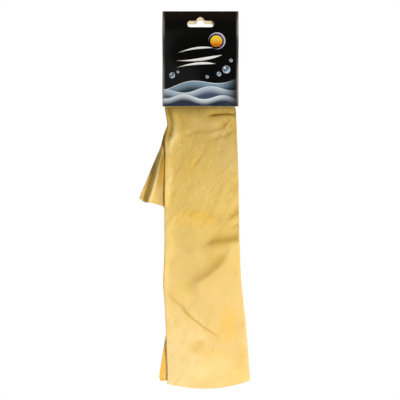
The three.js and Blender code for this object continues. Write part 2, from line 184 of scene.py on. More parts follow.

# Front leaf's creases: a line of (x, z), its height towards the viewer, the widths of the slopes on the left
# and on the right of someone who walks along the line, and how much painted shade darkens the crease's bottom
CREASES = [
    ([(-40, -99), (-36, -111), (-32.5, -119), (-30, -125), (-25.5, -136)], 1.4, (4, 5), 0),
    ([(-36, -121), (-31, -135)], 0.5, (2.4, 2.4), 0),
    ([(-29, -110), (-25, -123), (-20, -135)], -0.5, (4, 2), 0),
    ([(-26, -126), (-31, -137.5), (-34.6, -144), (-38.3, -151), (-41, -158), (-44, -174)],
     2.9, (10, 6.5), 0),
    ([(-50, -134), (-42, -137), (-37, -140), (-33, -146)], -0.8, (2.4, 3), 0.6),
    ([(2, -118.5), (20, -116.2), (30, -115), (54, -116)], -2.4, (7, 2.6), 0),
    ([(3, -119.4), (20, -117), (30, -115.8), (54, -116.8)], -0.3, (1.3, 1.6), 1.6),
    ([(28, -134), (40, -122)], 0.8, (1.6, 2.0), 0),
    ([(32, -134), (39, -128)], -0.7, (1.4, 1.6), 0.4),
    ([(-26, -145), (-12, -139.5), (-2.6, -136.7), (8.8, -137.5), (19, -135), (26, -132.7),
      (33, -128), (44, -122)], -1.0, (7, 2), 0.45),
    ([(6, -150), (18, -144.5), (26, -142.5), (38, -138), (52, -133)], -0.8, (7, 2), 0.3),
    ([(4, -162), (-10, -179)], -0.5, (2, 3), 0.3),
    ([(-20, -174), (-31, -187)], -0.4, (2, 3), 0.25),
    ([(-35, -228), (-21, -224), (-8, -223.5)], -0.3, (2.4, 2), 0.15),
    ([(-26, -230), (-33, -242), (-44, -253)], 0.6, (3.2, 10), 0),
    ([(58, -219), (40, -236), (28, -246)], -1.4, (3.4, 8), 0.55),
    ([(62, -239), (42, -249), (32, -253)], -1.2, (3, 6), 0.2),
    ([(66, -264), (40, -269.5), (23, -271.5), (13, -274), (1, -277)], 3.4, (14, 6), 0),
    ([(12, -276), (-16, -283)], 0.4, (6, 3.4), 0),
    ([(60, -262), (38, -266), (22, -270), (4, -276)], -0.2, (8, 11), 0.65),
    ([(44, -270), (38, -280), (31, -290), (23, -301), (6, -315), (-5, -321), (-21, -330)],
     3.1, (24, 9.5), 0),
    ([(40, -276), (24, -296), (7, -311), (-14, -323)], -0.1, (4, 14), 0.5),
    ([(-20, -214), (-20, -262), (-15, -336)], -0.6, (12, 12), 0),
    ([(-35, -336), (-14, -355), (20, -384)], 0.7, (14, 2.2), 0),
    ([(-46, -325), (-26, -343), (-9, -358)], -0.2, (2.2, 4), 0.55),
    ([(-26, -346), (3, -370), (29, -390)], -0.22, (1.4, 2.2), 0.8),
    ([(-40, -454), (-30, -439), (-20, -424), (-17, -420)], -0.28, (2, 2), 0.45),
]
CREST_ROUND, CREASE_FALL, CREASE_POWER = 0.35, 1.6, 1.3
CREASE_TAPER = (0.3, 0.25)
# Share of the front leaf's relief that reaches the left fold, how far from the fold it is whole, and over
# which part of a fold's turn it comes in
EDGE_RELIEF, EDGE_REACH = 0.3, 7
TURN_RELIEF = (0.3, 1)
# Front leaf's soft swells: centre, half sizes and height
SWELLS = [((44, -316), (16, 26), 1.4), ((8, -246), (40, 13), 1.0), ((12, -172), (40, 34), 0.6),
          ((-8, -410), (34, 26), 0.8)]

# Flap: its edges as (x, z), and its pleat's crest, rise, width and shade as (z, value). The shade is painted:
# the front leaf's shadow on the flap's inner part
FLAP_ROOT_X = -41.0
FLAP_TIP_X = -72.9
FLAP_UPPER = [(-73.2, -216.8), (-59, -182), (-47.6, -155.5), (-45.4, -146), (-41, -133)]
FLAP_LOWER = [(-73.2, -216.8), (-70, -219.8), (-66, -221.9), (-58.2, -222.4), (-50, -224.9), (-41, -227.5)]
PLEAT_CREST = [(-219.7, -61.5), (-208.2, -57.4), (-194.3, -53.3), (-178, -49.3), (-166, -45.6), (-146, -42)]
PLEAT_RISE = [(-227, 7.6), (-190, 6.4), (-160, 3.2), (-146.5, 0.6)]
PLEAT_OUTER = [(-222, 6.2), (-205, 7.6), (-190, 9.4), (-170, 10)]
PLEAT_INNER = 12.0
PLEAT_SOFT = 6
FLAP_FORWARD, FORWARD_OVER = 4.0, (143, 173)
FLAP_CURL, CURL_ACROSS, CURL_DOWN = 1.4, (-1, 5), (185, 212)
FLAP_TURN = [(-219, 5), (-195, 4), (-183, 2), (-165, 0.6)]
FLAP_DARK = [(-227, 0.2), (-219, 0.25), (-207, 0.5), (-195, 0.95), (-175, 1.2), (-150, 1.35)]
# Painted shadow at the flap's top where it meets the front leaf, painted highlight on the lower pleat's
# crest, and a valley value that paints shade on the inner part
FLAP_TOP_DARK, TOP_DARK_OVER = 1.5, (-160, -149)
FLAP_LIGHT, FLAP_LIGHT_OVER, FLAP_VALLEY = 0.5, (165, 210), -1.6
FLAP_LEAVES_OVER = (41.5, 44.5)
ROOT_THIN, ROOT_THIN_OVER = 0.4, (43.5, 45.5)
FLAP_COLUMNS, FLAP_ROWS = 60, 90

# Marks on the skin: how far a face turns from the light, and the strip along the right fold that is tinted
# darker orange
SHADE_OVER = (0.05, 0.6)
FOLD_TINT_OVER = (-1.5, 0.5)

# Textures of the card and the skin: noise scale for a metre, detail, roughness and stretch along the fibres
SCUFFS, CARD_RIPPLES, FIBRES = (120, 6, 0.65), (45, 2), (900, 4, 0.7)
TEXTURES = {
    "cloud": (34, 5, 0.6), "patch": (11, 2), "streak": (110, 4, 0.6, 3.2), "mottle": (330, 3, 0.65),
    "speckle": (800, 3, 0.7), "nap": (1500, 5, 0.7), "wrinkle": (90, 3, 0.5, 3),
}
# Skin's colours, each laid on the last: the field that it follows, the field's values where it starts and is
# full, its colour and share, and the field that limits it, if one does. Z is the height
NECK_COLOUR = (0.56, 0.385, 0.100)
GROUND_TINTS = [
    # With the neck colour, these two make the skin lighter downwards: partly its tone, partly painted shade
    # where the light falls off towards the top
    ("z", (-110, -220), (0.775, 0.55, 0.165), 1),
    ("z", (-210, -400), (0.83, 0.58, 0.226), 1),
    # Painted shadow of the card on the skin just under its mouth, in two dark bands
    ("z", (-124, -106), (0.30, 0.215, 0.06), 0.85),
    ("z", (-113, -108.5), (0.24, 0.165, 0.035), 0.6),
    # Inside the sleeve the skin has its mid colour again, without the painted shadow
    ("z", (-106, -99), (0.76, 0.54, 0.165), 1),
    ("patch", (0.5, 0.72), (0.85, 0.55, 0.10), 0.35),
]
SURFACE_TINTS = [
    ("cloud", (0.52, 0.75), (0.88, 0.70, 0.34), 0.22),
    ("cloud", (0.5, 0.28), (0.55, 0.36, 0.08), 0.25, "grain"),
    ("streak", (0.55, 0.8), (0.90, 0.72, 0.33), 0.3, "grain"),
    ("streak", (0.48, 0.25), (0.55, 0.36, 0.08), 0.3, "grain"),
    ("mottle", (0.52, 0.75), (0.93, 0.77, 0.40), 0.22, "grain"),
    ("mottle", (0.48, 0.25), (0.52, 0.34, 0.08), 0.22, "grain"),
    # Painted highlight: paler on the front leaf's crests and on the flap's lower pleat
    ("relief", (1.0, 3.0), (0.95, 0.80, 0.44), 0.4, "rough"),
    # Painted shade: darker in the front leaf's hollows and on the flap's inner part
    ("relief", (0.0, -1.6), (0.56, 0.35, 0.075), 0.35),
    # Darker orange along the right fold's edge
    ("fold", None, (0.62, 0.40, 0.10), 0.25, "rough"),
    ("speckle", (0.52, 0.3), (0.48, 0.31, 0.08), 0.25, "grain"),
]
# Painted shade, laid by multiplying: warm in the bottoms of creases, greyer where they are deepest, and warm
# where a face turns from the light
SHADOW_TINTS = [
    ("groove", (0.1, 1.0), (0.80, 0.67, 0.30), 1),
    ("groove", (0.9, 1.5), (0.55, 0.58, 0.62), 1),
    ("shade", None, (0.97, 0.95, 0.76), 1),
]
# Stains, painted shade and painted highlights in the skin's colour: centre, half sizes, colour and strength
STAINS_SHADE_AND_HIGHLIGHTS = [
    ((0, -241), (40, 13), (0.86, 0.54, 0.075), 0.7),
    ((34, -369), (17, 30), (0.90, 0.56, 0.10), 0.55),
    ((16, -404), (24, 7), (0.90, 0.57, 0.12), 0.3),
    ((-22, -330), (18, 24), (0.90, 0.62, 0.13), 0.3),
    ((34, -165), (20, 34), (0.66, 0.50, 0.20), 0.45),
    ((-9, -180), (28, 24), (0.72, 0.46, 0.085), 0.4),
    ((-36, -415), (52, 100), (0.97, 0.76, 0.375), 0.6),
    # Painted highlight: paler along the front leaf's left edge
    ((-40, -190), (9, 75), (0.91, 0.65, 0.21), 0.4),
    ((-40, -260), (14, 80), (0.95, 0.70, 0.27), 0.35),
    # Painted shade on the flap's upper part
    ((-52, -158), (8, 30), (0.42, 0.28, 0.065), 0.7),
    ((20, -425), (40, 26), (0.93, 0.72, 0.31), 0.4),
    # More orange on the bottom-left strip: partly the skin's tone, partly painted warm light that passes
    # through the folds and bounces between them
    ((-46, -412), (6, 60), (0.86, 0.49, 0.07), 0.9),
    # Painted shade on the strip's lower rim
    ((-47, -436), (6, 3), (0.76, 0.38, 0.02), 0.8),
    ((56, -385), (9, 70), (0.90, 0.66, 0.34), 0.4),
    # Painted shadow of the front leaf on the flap, and painted shade on the flap's outer band
    ((-50, -192), (8, 50), (0.48, 0.46, 0.30), 0.45),
    ((-57, -178), (6, 20), (0.24, 0.20, 0.11), 0.55),
    ((10, -135), (44, 12), (0.66, 0.51, 0.20), 0.4),
    ((-58, -212), (9, 20), (0.90, 0.74, 0.38), 0.3),
    # Painted shade on the flap's outer band
    ((-68, -200), (5, 14), (0.30, 0.25, 0.14), 0.4),
    # Painted shadow of a small fold at the neck's left
    ((-41, -145), (5, 6), (0.55, 0.37, 0.08), 0.3),
    # Painted shade around the two main creases
    ((28, -257), (24, 26), (0.66, 0.44, 0.09), 0.4),
    ((16, -290), (14, 16), (0.80, 0.53, 0.10), 0.35),
    ((-5, -258), (16, 10), (0.72, 0.50, 0.12), 0.35),
    ((-34, -349), (8, 14), (0.90, 0.60, 0.15), 0.3),
    ((-6, -384), (14, 9), (0.95, 0.75, 0.36), 0.35),
]
PATCH_RAGGED, PATCH_INSET, PATCH_EDGE = 1.5, 0.35, (-0.6, 0.1)
SMOOTH_GRAIN = 0.5
SUEDE = {
    "Roughness": 0.92, "Specular IOR Level": 0.02,
    "Sheen Weight": 0.22, "Sheen Roughness": 0.45, "Sheen Tint": (1.0, 0.86, 0.55, 1),
    "Subsurface Weight": 0.08, "Subsurface Radius": (1.0, 0.5, 0.15), "Subsurface Scale": 2.5 * MM,
}
WRINKLE_DEPTH, WRINKLE_WIDTH, MOTTLE_DEPTH, NAP_DEPTH, BUMP_STRENGTH = 0.3, 0.05, 0.4, 0.16, 0.5

# Camera: the photograph's frame is 400 pixels of 1.2 mm at the leather
FRAME_MM = 480.0
FRAME_CENTRE = (-0.6, -219.2)
LENS, SENSOR = 100.0, 36.0

# Studio: soft lamps with their places, aims and sizes in metres, their watts, and whether gloss mirrors them
LAMPS = [
    ("key", (0.80, -0.78, -0.50), (0, 0, -0.30), (0.32, 0.32), 12.9, False),
    ("low", (-0.45, -1.05, -0.50), (0, 0, -0.34), (0.5, 0.4), 2.6, True),
    ("fill", (-0.4, -1.1, -0.3), (0, 0, -0.25), (0.8, 1.0), 0.5, True),
    ("back", (-0.75, 0.95, -0.10), (0, 0, -0.25), (0.4, 0.4), 12.0, False),
    ("top", (0.05, 0.35, 0.95), (0, 0, -0.2), (0.6, 0.4), 9.0, False),
    ("back_fill", (0.55, 1.10, -0.40), (0, 0, -0.25), (0.7, 0.7), 4.0, True),
]
# Room and floor
SIDE_GLOW, ROOM_DIM = 1.6, 0.008
ROOM_LIGHT, ROOM_COLOUR = 0.18, (1.0, 0.80, 0.50)
BEHIND_OVER, SIDES_OVER, LEVEL_OVER = (-0.05, 0.3), (0.72, 0.92), (0.45, 0.2)
FLOOR_RADIUS, FLOOR_LEVEL, FLOOR_SIDES = 700.0, -620.0, 96
FLOOR_COLOUR, FLOOR_RIM, FLOOR_FADE, FLOOR_GLOW = (0.75, 0.75, 0.75), (0.0, 0.0, 0.0), (250, 680), 0.65


def smooth(value, low, high):
    """0 below low and 1 above high, smooth between."""
    t = np.clip((value - low) / (high - low), 0, 1)
    return t * t * (3 - 2 * t)


def mix(a, b, share):
    return a + (b - a) * share


def along(points, place, soften=0.0):
    """Value at a place on a list of (place, value) points, averaged over a softening width."""
    places, values = zip(*sorted(points))
    if not np.any(soften):
        return np.interp(place, places, values)
    offsets = np.linspace(-1, 1, 9)
    weights = np.exp(-2 * offsets ** 2)
    total = sum(w * np.interp(place + o * soften, places, values) for w, o in zip(weights, offsets))
    return total / weights.sum()


def noise(u, v, cell, seed):
    """Smooth value noise from -1 to 1, with one value for each cell."""
    lattice = np.random.default_rng(seed).uniform(-1, 1, (LATTICE, LATTICE))
    u, v = u / cell, v / cell
    i, j = np.floor(u).astype(int), np.floor(v).astype(int)
    a, b = smooth(u - i, 0, 1), smooth(v - j, 0, 1)

    def corner(across, up):
        return lattice[(i + across) % LATTICE, (j + up) % LATTICE]

    return mix(mix(corner(0, 0), corner(1, 0), a), mix(corner(0, 1), corner(1, 1), a), b)


def uneven(u, v, layers):
    return sum(height * noise(u, v, cell, seed) for height, cell, seed in layers)


def line_field(x, z, line):
    """Signed distance to a line of points, positive on its left, and the share of its length."""
    best = np.full(x.shape, np.inf)
    signed, share = np.zeros(x.shape), np.zeros(x.shape)
    points = np.array(line, float)
    lengths = np.linalg.norm(np.diff(points, axis=0), axis=1)
    done = 0.0
    for (ax, az), (bx, bz), length in zip(points[:-1], points[1:], lengths):
        dx, dz = (bx - ax) / length, (bz - az) / length
        reach = np.clip((x - ax) * dx + (z - az) * dz, 0, length)
        off_x, off_z = x - ax - reach * dx, z - az - reach * dz
        distance = np.hypot(off_x, off_z)
        nearer = distance < best
        side = np.where(dx * off_z - dz * off_x >= 0, 1, -1)
        best = np.where(nearer, distance, best)
        signed = np.where(nearer, distance * side, signed)
        share = np.where(nearer, (done + reach) / lengths.sum(), share)
        done += length
    return signed, share


def crease_relief(x, z, line, height, slopes):
    """Height of one crease: a rounded crest that falls off to both sides and tapers to both ends."""
    distance, share = line_field(x, z, line)
    width = np.where(distance >= 0, *slopes)
    fall = (np.sqrt((distance / width) ** 2 + CREST_ROUND ** 2) - CREST_ROUND) * CREASE_FALL
    taper = smooth(share, 0, CREASE_TAPER[0]) * smooth(1 - share, 0, CREASE_TAPER[1])
    return height * np.exp(-fall ** CREASE_POWER) * taper


def wandered(x, z):
    """Places moved a little, so that creases waver."""
    return x + uneven(x, z, [WANDER_X]), z + uneven(x, z, [WANDER_Z])


def front_groove(x, z):
    """How much painted shade darkens the bottoms of the front leaf's sharper creases."""
    at = wandered(x, z)
    return sum(crease_relief(*at, line, height, slopes) / height * groove
               for line, height, slopes, groove in CREASES if groove)


def ripple_relief(x, z):
    across = x * math.cos(LEAN) - z * math.sin(LEAN)
    down = x * math.sin(LEAN) + z * math.cos(LEAN)
    ripples = sum(uneven(across, down * stretch, [layer]) for stretch, layer in RIPPLES)
    strength = mix(RIPPLE_LEAST, RIPPLE_MOST, smooth(z, *ROUGH_OVER) * smooth(-z, *RIPPLES_BELOW))
    return RIPPLE_HEIGHT * strength * ripples


def front_relief(x, z):
    """Height of the front leaf's creases, swells and wrinkles towards the viewer."""
    at = wandered(x, z)
    relief = sum(crease_relief(*at, line, height, slopes) for line, height, slopes, _ in CREASES)
    for (cx, cz), (sx, sz), height in SWELLS:
        relief = relief + height * np.exp(-((x - cx) / sx) ** 2 - ((z - cz) / sz) ** 2)
    unevenness = mix(LOWER_UNEVEN, 1, smooth(z, *UNEVEN_OVER)) * uneven(x, z, FRONT_UNEVEN)
    relief = relief + ripple_relief(x, z) + unevenness
    return relief * smooth(-z, -CARD_MOUTH, -CARD_MOUTH + RELIEF_STARTS_OVER)


def skin_section(z):
    """Fold centres and leaf depths of the skin at each height."""
    left_radius = along(LEFT_RADIUS, z, FOLD_SOFT)
    right_radius = along(RIGHT_RADIUS, z, FOLD_SOFT)
    edge = np.where(z > IN_CARD, CARD_SOFT, EDGE_SOFT)
    waver = uneven(z, z * 0, [WAVER]) * smooth(-z, *WAVER_OVER)
    return {
        "left_radius": left_radius, "right_radius": right_radius,
        "left_x": along(LEFT_FOLD, z, edge) + waver + SKIN / 2 + left_radius,
        "right_x": along(RIGHT_FOLD, z, edge) - SKIN / 2 - right_radius,
        "left_y": along(LEFT_DEPTH, z, FOLD_SOFT), "right_y": along(RIGHT_DEPTH, z, FOLD_SOFT),
        "back_x": along(BACK_EDGE, z, BACK_SOFT),
        "pitch": along(LEAF_PITCH, z, PITCH_SOFT),
        "belly": along(BELLY, z, BELLY_SOFT),
        "left_blend": along(LEFT_BLEND, z, FOLD_SOFT) * (1 + uneven(z, z * 0, [FOLD_WAVER])),
        "right_blend": along(RIGHT_BLEND, z, FOLD_SOFT),
    }


def from_folds(s, x):
    """Share of the way from each fold to the flat of a leaf."""
    left = 1 - np.exp(-(FOLD_SHARPNESS * np.maximum(x - s["left_x"], 0) / s["left_blend"]) ** 2)
    right = 1 - np.exp(-(FOLD_SHARPNESS * np.maximum(s["right_x"] - x, 0) / s["right_blend"]) ** 2)
    return left, right


def inner_leaf(s, f, z):
    x = mix(INNER_EDGE, s["left_x"], f)
    left, _ = from_folds(s, x)
    return x, (s["left_y"] + s["left_radius"]) * (1 - left) + uneven(x, z, INNER_UNEVEN) * left


def left_fold(s, f, z):
    turn = math.pi * f
    x = s["left_x"] - s["left_radius"] * np.sin(turn)
    y = s["left_y"] + s["left_radius"] * np.cos(turn)
    return x, y - front_relief(s["left_x"], z) * EDGE_RELIEF * smooth(f, *TURN_RELIEF)


def front_leaf(s, f, z):
    x = mix(s["left_x"], s["right_x"], f)
    left, right = from_folds(s, x)
    flat = -s["pitch"] - s["belly"]
    y = mix(s["right_y"] - s["right_radius"], mix(s["left_y"] - s["left_radius"], flat, left), right)
    share = mix(EDGE_RELIEF, 1, smooth(x, s["left_x"], s["left_x"] + EDGE_REACH))
    return x, y - front_relief(x, z) * share


def right_fold(s, f, z):
    turn = math.pi * f
    x = s["right_x"] + s["right_radius"] * np.sin(turn)
    y = s["right_y"] - s["right_radius"] * np.cos(turn)
    return x, y - front_relief(s["right_x"], z) * smooth(1 - f, *TURN_RELIEF)


def back_leaf(s, f, z):
    x = mix(s["right_x"], s["back_x"], f)
    left, right = from_folds(s, x)
    edge = np.minimum(BACK_EDGE_DEPTH, s["pitch"])
    y = mix(s["right_y"] + s["right_radius"], mix(edge, s["pitch"], left), right)
    free = smooth(-z, -CARD_MOUTH, -CARD_MOUTH + BACK_FREE_AFTER) * left * right
    strip = smooth(-x, -s["left_x"] - STRIP_STEP[0], -s["left_x"] + STRIP_STEP[1])
    strip = strip * smooth(-z, -STRIP_FROM, -STRIP_FROM + STRIP_REACH)
    y = y - STRIP_FORWARD * strip
    return x, y + free * (uneven(x, z, BACK_UNEVEN) + BACK_SAG)


# Leaves of the skin in order, with the steps across each
LEAVES = [(inner_leaf, 26), (left_fold, 12), (front_leaf, 92), (right_fold, 12), (back_leaf, 60)]


def skin_columns():
    """For each column of the skin, its leaf and its place across that leaf."""
    columns = []
    for leaf, count in LEAVES:
        places = np.linspace(0, 1, count + 1)
        if leaf in (left_fold, right_fold):
            places = places[1:-1]
        if leaf is back_leaf:
            places = mix(places, 1 - (1 - places) ** 2, BACK_CROWDING)
        columns += [(leaf, f) for f in places]
    return columns


def skin_bottom(columns):
    """Lower end of each column: an arc under the front leaf, and higher ends behind it."""
    section = skin_section(np.full(1, RIGHT_BOTTOM))
    lowest_x, lowest = FRONT_LOWEST
    ends = []
    for leaf, f in columns:
        if leaf is front_leaf:
            x = leaf(section, f, np.full(1, RIGHT_BOTTOM))[0][0]
            end, corner = (LEFT_BOTTOM, LEFT_CORNER) if x < lowest_x else (RIGHT_BOTTOM, RIGHT_CORNER)
            ends.append(lowest + (end - lowest) * ((x - lowest_x) / (corner - lowest_x)) ** 2)
        elif leaf is inner_leaf:
            ends.append(mix(INNER_BOTTOM, LEFT_BOTTOM, f))
        elif leaf is back_leaf:
            ends.append(mix(RIGHT_BOTTOM, BACK_BOTTOM, f) + CORNER_RISE * smooth(f, *CORNER_OVER))
        else:
            ends.append(LEFT_BOTTOM if leaf is left_fold else RIGHT_BOTTOM)
    return np.array(ends)


def skin_grid():
    """Mid-surface points of the whole skin, its marks at each, and the row where it is parted."""
    columns = skin_columns()
    hidden = np.linspace(SKIN_TOP, CARD_MOUTH + 3, HIDDEN_ROWS)
    upper = np.linspace(CARD_MOUTH + 2, SEAM, UPPER_ROWS)
    lower = np.linspace(0, 1, LOWER_ROWS)[1:]
    bottom = skin_bottom(columns)
    levels = [np.full(len(columns), z) for z in [*hidden, *upper]]
    levels += [mix(SEAM, bottom, v) for v in lower]
    heights = np.array(levels)
    grid = np.zeros((*heights.shape, 3))
    relief, groove, fold = (np.zeros(heights.shape) for _ in range(3))
    for c, (leaf, f) in enumerate(columns):
        z = heights[:, c]
        section = skin_section(z)
        x, y = leaf(section, f, z)
        grid[:, c] = np.stack([x, y, z], axis=1)
        if leaf is front_leaf:
            relief[:, c], groove[:, c] = front_relief(x, z), front_groove(x, z)
        fold[:, c] = smooth(x, section["right_x"] + FOLD_TINT_OVER[0], section["right_x"] + FOLD_TINT_OVER[1])
    return grid, {"relief": relief, "groove": groove, "fold": fold}, len(hidden) + len(upper) - 1


def grid_normals(grid):
    across = np.gradient(grid, axis=1)
    down = np.gradient(grid, axis=0)
    normal = np.cross(across, down)
    return normal / np.linalg.norm(normal, axis=2, keepdims=True)


def shaded(normals):
    """How far a sheet's front turns to the left, away from the light."""
    return smooth(normals[..., 0], *SHADE_OVER)


def new_object(name, verts, faces, materials):
    mesh = bpy.data.meshes.new(name)
    mesh.from_pydata((np.asarray(verts) * MM).tolist(), [], faces)
    mesh.update()
    mesh.shade_smooth()
    for material in materials:
        mesh.materials.append(material)
    obj = bpy.data.objects.new(name, mesh)
    bpy.context.scene.collection.objects.link(obj)
    return obj


def sheet_parts(grid, normals, thickness):
    """Vertices, normals and faces of a closed sheet: two sides and a rounded rim."""
    rows, columns = grid.shape[:2]
    half = np.broadcast_to(np.asarray(thickness, float) / 2, (rows, columns))[..., None]
    near = (grid + normals * half).reshape(-1, 3)
    far = (grid - normals * half).reshape(-1, 3)
    middle, flat = grid.reshape(-1, 3), normals.reshape(-1, 3)
    index = np.arange(rows * columns).reshape(rows, columns)
    a, b, c, d = index[:-1, :-1], index[:-1, 1:], index[1:, 1:], index[1:, :-1]
    quads = np.stack([a, b, c, d], axis=-1).reshape(-1, 4)
    shift = rows * columns
    loop = np.concatenate([index[0, :-1], index[:-1, -1], index[-1, :0:-1], index[:0:-1, 0]])
    next_loop = np.roll(loop, -1)
    side = np.cross(middle[next_loop] - middle[np.roll(loop, 1)], flat[loop])
    side /= np.maximum(np.linalg.norm(side, axis=1, keepdims=True), 1e-9)
    rim = middle[loop] + side * half.reshape(-1, 1)[loop] * RIM_ROUND
    turn = 2 * shift + np.arange(len(loop))
    after = np.roll(turn, -1)
    upper_rim = np.stack([next_loop, loop, turn, after], axis=-1)
    lower_rim = np.stack([after, turn, loop + shift, next_loop + shift], axis=-1)
    verts = np.concatenate([near, far, rim])
    vert_normals = np.concatenate([flat, -flat, side])
    faces = np.concatenate([quads, quads[:, ::-1] + shift, upper_rim, lower_rim])
    return verts, vert_normals, faces


def sheet_object(name, grid, normals, thickness, material, marks):
    """A sheet with its places before it bends, and its marks on both sides."""
    verts, vert_normals, faces = sheet_parts(grid, normals, thickness)
    obj = new_object(name, verts, faces.tolist(), [material])
    obj.data.normals_split_custom_set_from_vertices(vert_normals.tolist())
    rest_place = obj.data.attributes.new("rest_place", "FLOAT_VECTOR", "POINT")
    rest_place.data.foreach_set("vector", (verts * MM).astype(np.float32).ravel())
    for mark, places in marks.items():
        values = np.zeros(len(verts), np.float32)
        values[:2 * places.size] = np.tile(places.reshape(-1), 2)
        obj.data.attributes.new(mark, "FLOAT", "POINT").data.foreach_set("value", values)
    return obj


def part_marks(marks, rows):
    return {mark: places[rows] for mark, places in marks.items()}


def flap_grid():
    """Mid-surface points of the flap from its root to its tip, its thickness and its marks."""
    x = np.linspace(FLAP_ROOT_X, FLAP_TIP_X, FLAP_COLUMNS)[None, :] * np.ones((FLAP_ROWS, 1))
    v = np.linspace(0, 1, FLAP_ROWS)[:, None]
    z = mix(along(FLAP_UPPER, x), along(FLAP_LOWER, x), v)
    off = x - along(PLEAT_CREST, z, PLEAT_SOFT)
    outer = along(PLEAT_OUTER, z, PLEAT_SOFT)
    share = np.where(off < 0, -off / outer, off / PLEAT_INNER)
    pleat = along(PLEAT_RISE, z, PLEAT_SOFT) * smooth(1 - share, 0, 1)
    away = smooth(-x, *FLAP_LEAVES_OVER)
    forward = FLAP_FORWARD * smooth(-z, *FORWARD_OVER)
    curl = FLAP_CURL * smooth(-off, outer + CURL_ACROSS[0], outer + CURL_ACROSS[1]) * smooth(-z, *CURL_DOWN)
    y = BACK_EDGE_DEPTH - (forward + pleat + curl) * away + uneven(x, z, FLAP_UNEVEN) * away
    thickness = SKIN * mix(ROOT_THIN, 1, smooth(-x, *ROOT_THIN_OVER))
    inner = smooth(off / along(FLAP_TURN, z), 0, 1)
    # These marks only paint: a highlight on the lower crest, shade on the inner part, and shadow at the top
    relief = mix(pleat * away * smooth(-z, *FLAP_LIGHT_OVER) * FLAP_LIGHT, FLAP_VALLEY, inner)
    groove = np.maximum(along(FLAP_DARK, z) * inner, FLAP_TOP_DARK * smooth(z, *TOP_DARK_OVER))
    grid = np.stack([x, y, z], axis=-1)[:, ::-1]
    return grid, thickness[:, ::-1], {"relief": relief[:, ::-1], "groove": groove[:, ::-1]}


def sleeve_section(z):
    """Crease half depth, bulge and panel half width at a height, at much the same girth all the way."""
    crease = along(CREASE, z, CREASE_SOFT)
    opened = smooth(-z, -FLAT_TO, -DEEPEST)
    closed = smooth(-z, -DEEPEST, -CARD_MOUTH)
    bulge = mix(BULGE_DEEPEST * opened, BULGE_MOUTH, closed)
    flat_half = CARD_WIDTH / 2 - BOARD / 2
    arched = (4 / 3) * bulge ** 2 / flat_half / 2
    half = flat_half - (crease * CREASE_GIRTH + arched) - crease * (CREASE_SPREAD - 1)
    return crease, bulge, half


def sleeve_row(z):
    """The sheet's path round the sleeve at a height, from the back panel's inner end to the outer lap."""
    crease, bulge, half = sleeve_section(z)

    def depth(x):
        return crease + bulge * (1 - (x / half) ** 2)

    landing = -LAP / 2 - LAP_LANDING
    turns = np.linspace(0, 1, TURN_STEPS)[1:-1]
    inner = np.linspace(-LAP / 2, half, INNER_STEPS)
    front = np.linspace(half, -half, FRONT_STEPS)
    outer = np.linspace(-half, LAP / 2, OUTER_STEPS)
    lap = LAP_STEP * smooth(outer, landing - LAP_RAMP, landing)
    right = math.pi / 2 - math.pi * turns
    left = -math.pi / 2 - math.pi * turns
    spread = crease * CREASE_SPREAD
    x = np.concatenate([inner, half + spread * np.cos(right), front, -half + spread * np.cos(left), outer])
    y = np.concatenate([depth(inner), crease * np.sin(right), -depth(front), crease * np.sin(left),
                        depth(outer) + lap])
    return np.stack([x, y, np.full_like(x, z)], axis=1)


def arc(centre, radius, start, end, steps):
    return [(centre[0] + radius * math.cos(t), centre[1] + radius * math.sin(t))
            for t in np.linspace(start, end, steps)]


def slot_outline(drop):
    """Outline of the hanging slot in x and z: a bar with round ends, and a crown on soft shoulders."""
    radius = SLOT_BAR / 2
    end_centre = (SLOT_WIDTH / 2 - radius, -SLOT_HEIGHT + radius)
    right_end = arc(end_centre, radius, -math.pi / 2, math.pi / 2, END_STEPS)
    crown = arc((0, -SLOT_CROWN), SLOT_CROWN, SLOT_NECK, math.pi / 2, CROWN_STEPS)
    (neck_x, neck_z), bar_top = crown[0], end_centre[1] + radius
    shoulder = [((1 - t) ** 2 * SLOT_SHOULDER + 2 * t * (1 - t) * neck_x + t * t * neck_x,
                 (1 - t) ** 2 * bar_top + 2 * t * (1 - t) * bar_top + t * t * neck_z)
                for t in np.linspace(0, 1, SHOULDER_STEPS)]
    half = right_end + shoulder + crown[1:]
    outline = half + [(-x, z) for x, z in half[-2::-1]]
    return [(x, z - drop) for x, z in outline]


def slot_cutter(name, near, far, drop, material):
    outline = slot_outline(drop)
    count = len(outline)
    verts = [(x, near, z) for x, z in outline] + [(x, far, z) for x, z in outline]
    faces = [list(range(count)), list(range(2 * count - 1, count - 1, -1))]
    faces += [[(i + 1) % count, i, i + count, (i + 1) % count + count] for i in range(count)]
    return new_object(name, verts, faces, [material])


def cut(obj, cutter):
    modifier = obj.modifiers.new("slot", "BOOLEAN")
    modifier.operation, modifier.solver, modifier.object = "DIFFERENCE", "EXACT", cutter
    modifier.material_mode = "TRANSFER"
    graph = bpy.context.evaluated_depsgraph_get()
    mesh = bpy.data.meshes.new_from_object(obj.evaluated_get(graph))
    obj.modifiers.clear()
    obj.data = mesh
    bpy.data.objects.remove(cutter)


def sharpen(obj, limit):
    """Smooth faces with hard edges where they meet at more than an angle."""
    shape = bmesh.new()
    shape.from_mesh(obj.data)
    for face in shape.faces:
        face.smooth = True
    for edge in shape.edges:
        edge.smooth = len(edge.link_faces) == 2 and edge.calc_face_angle(0) < limit
    shape.to_mesh(obj.data)
    shape.free()


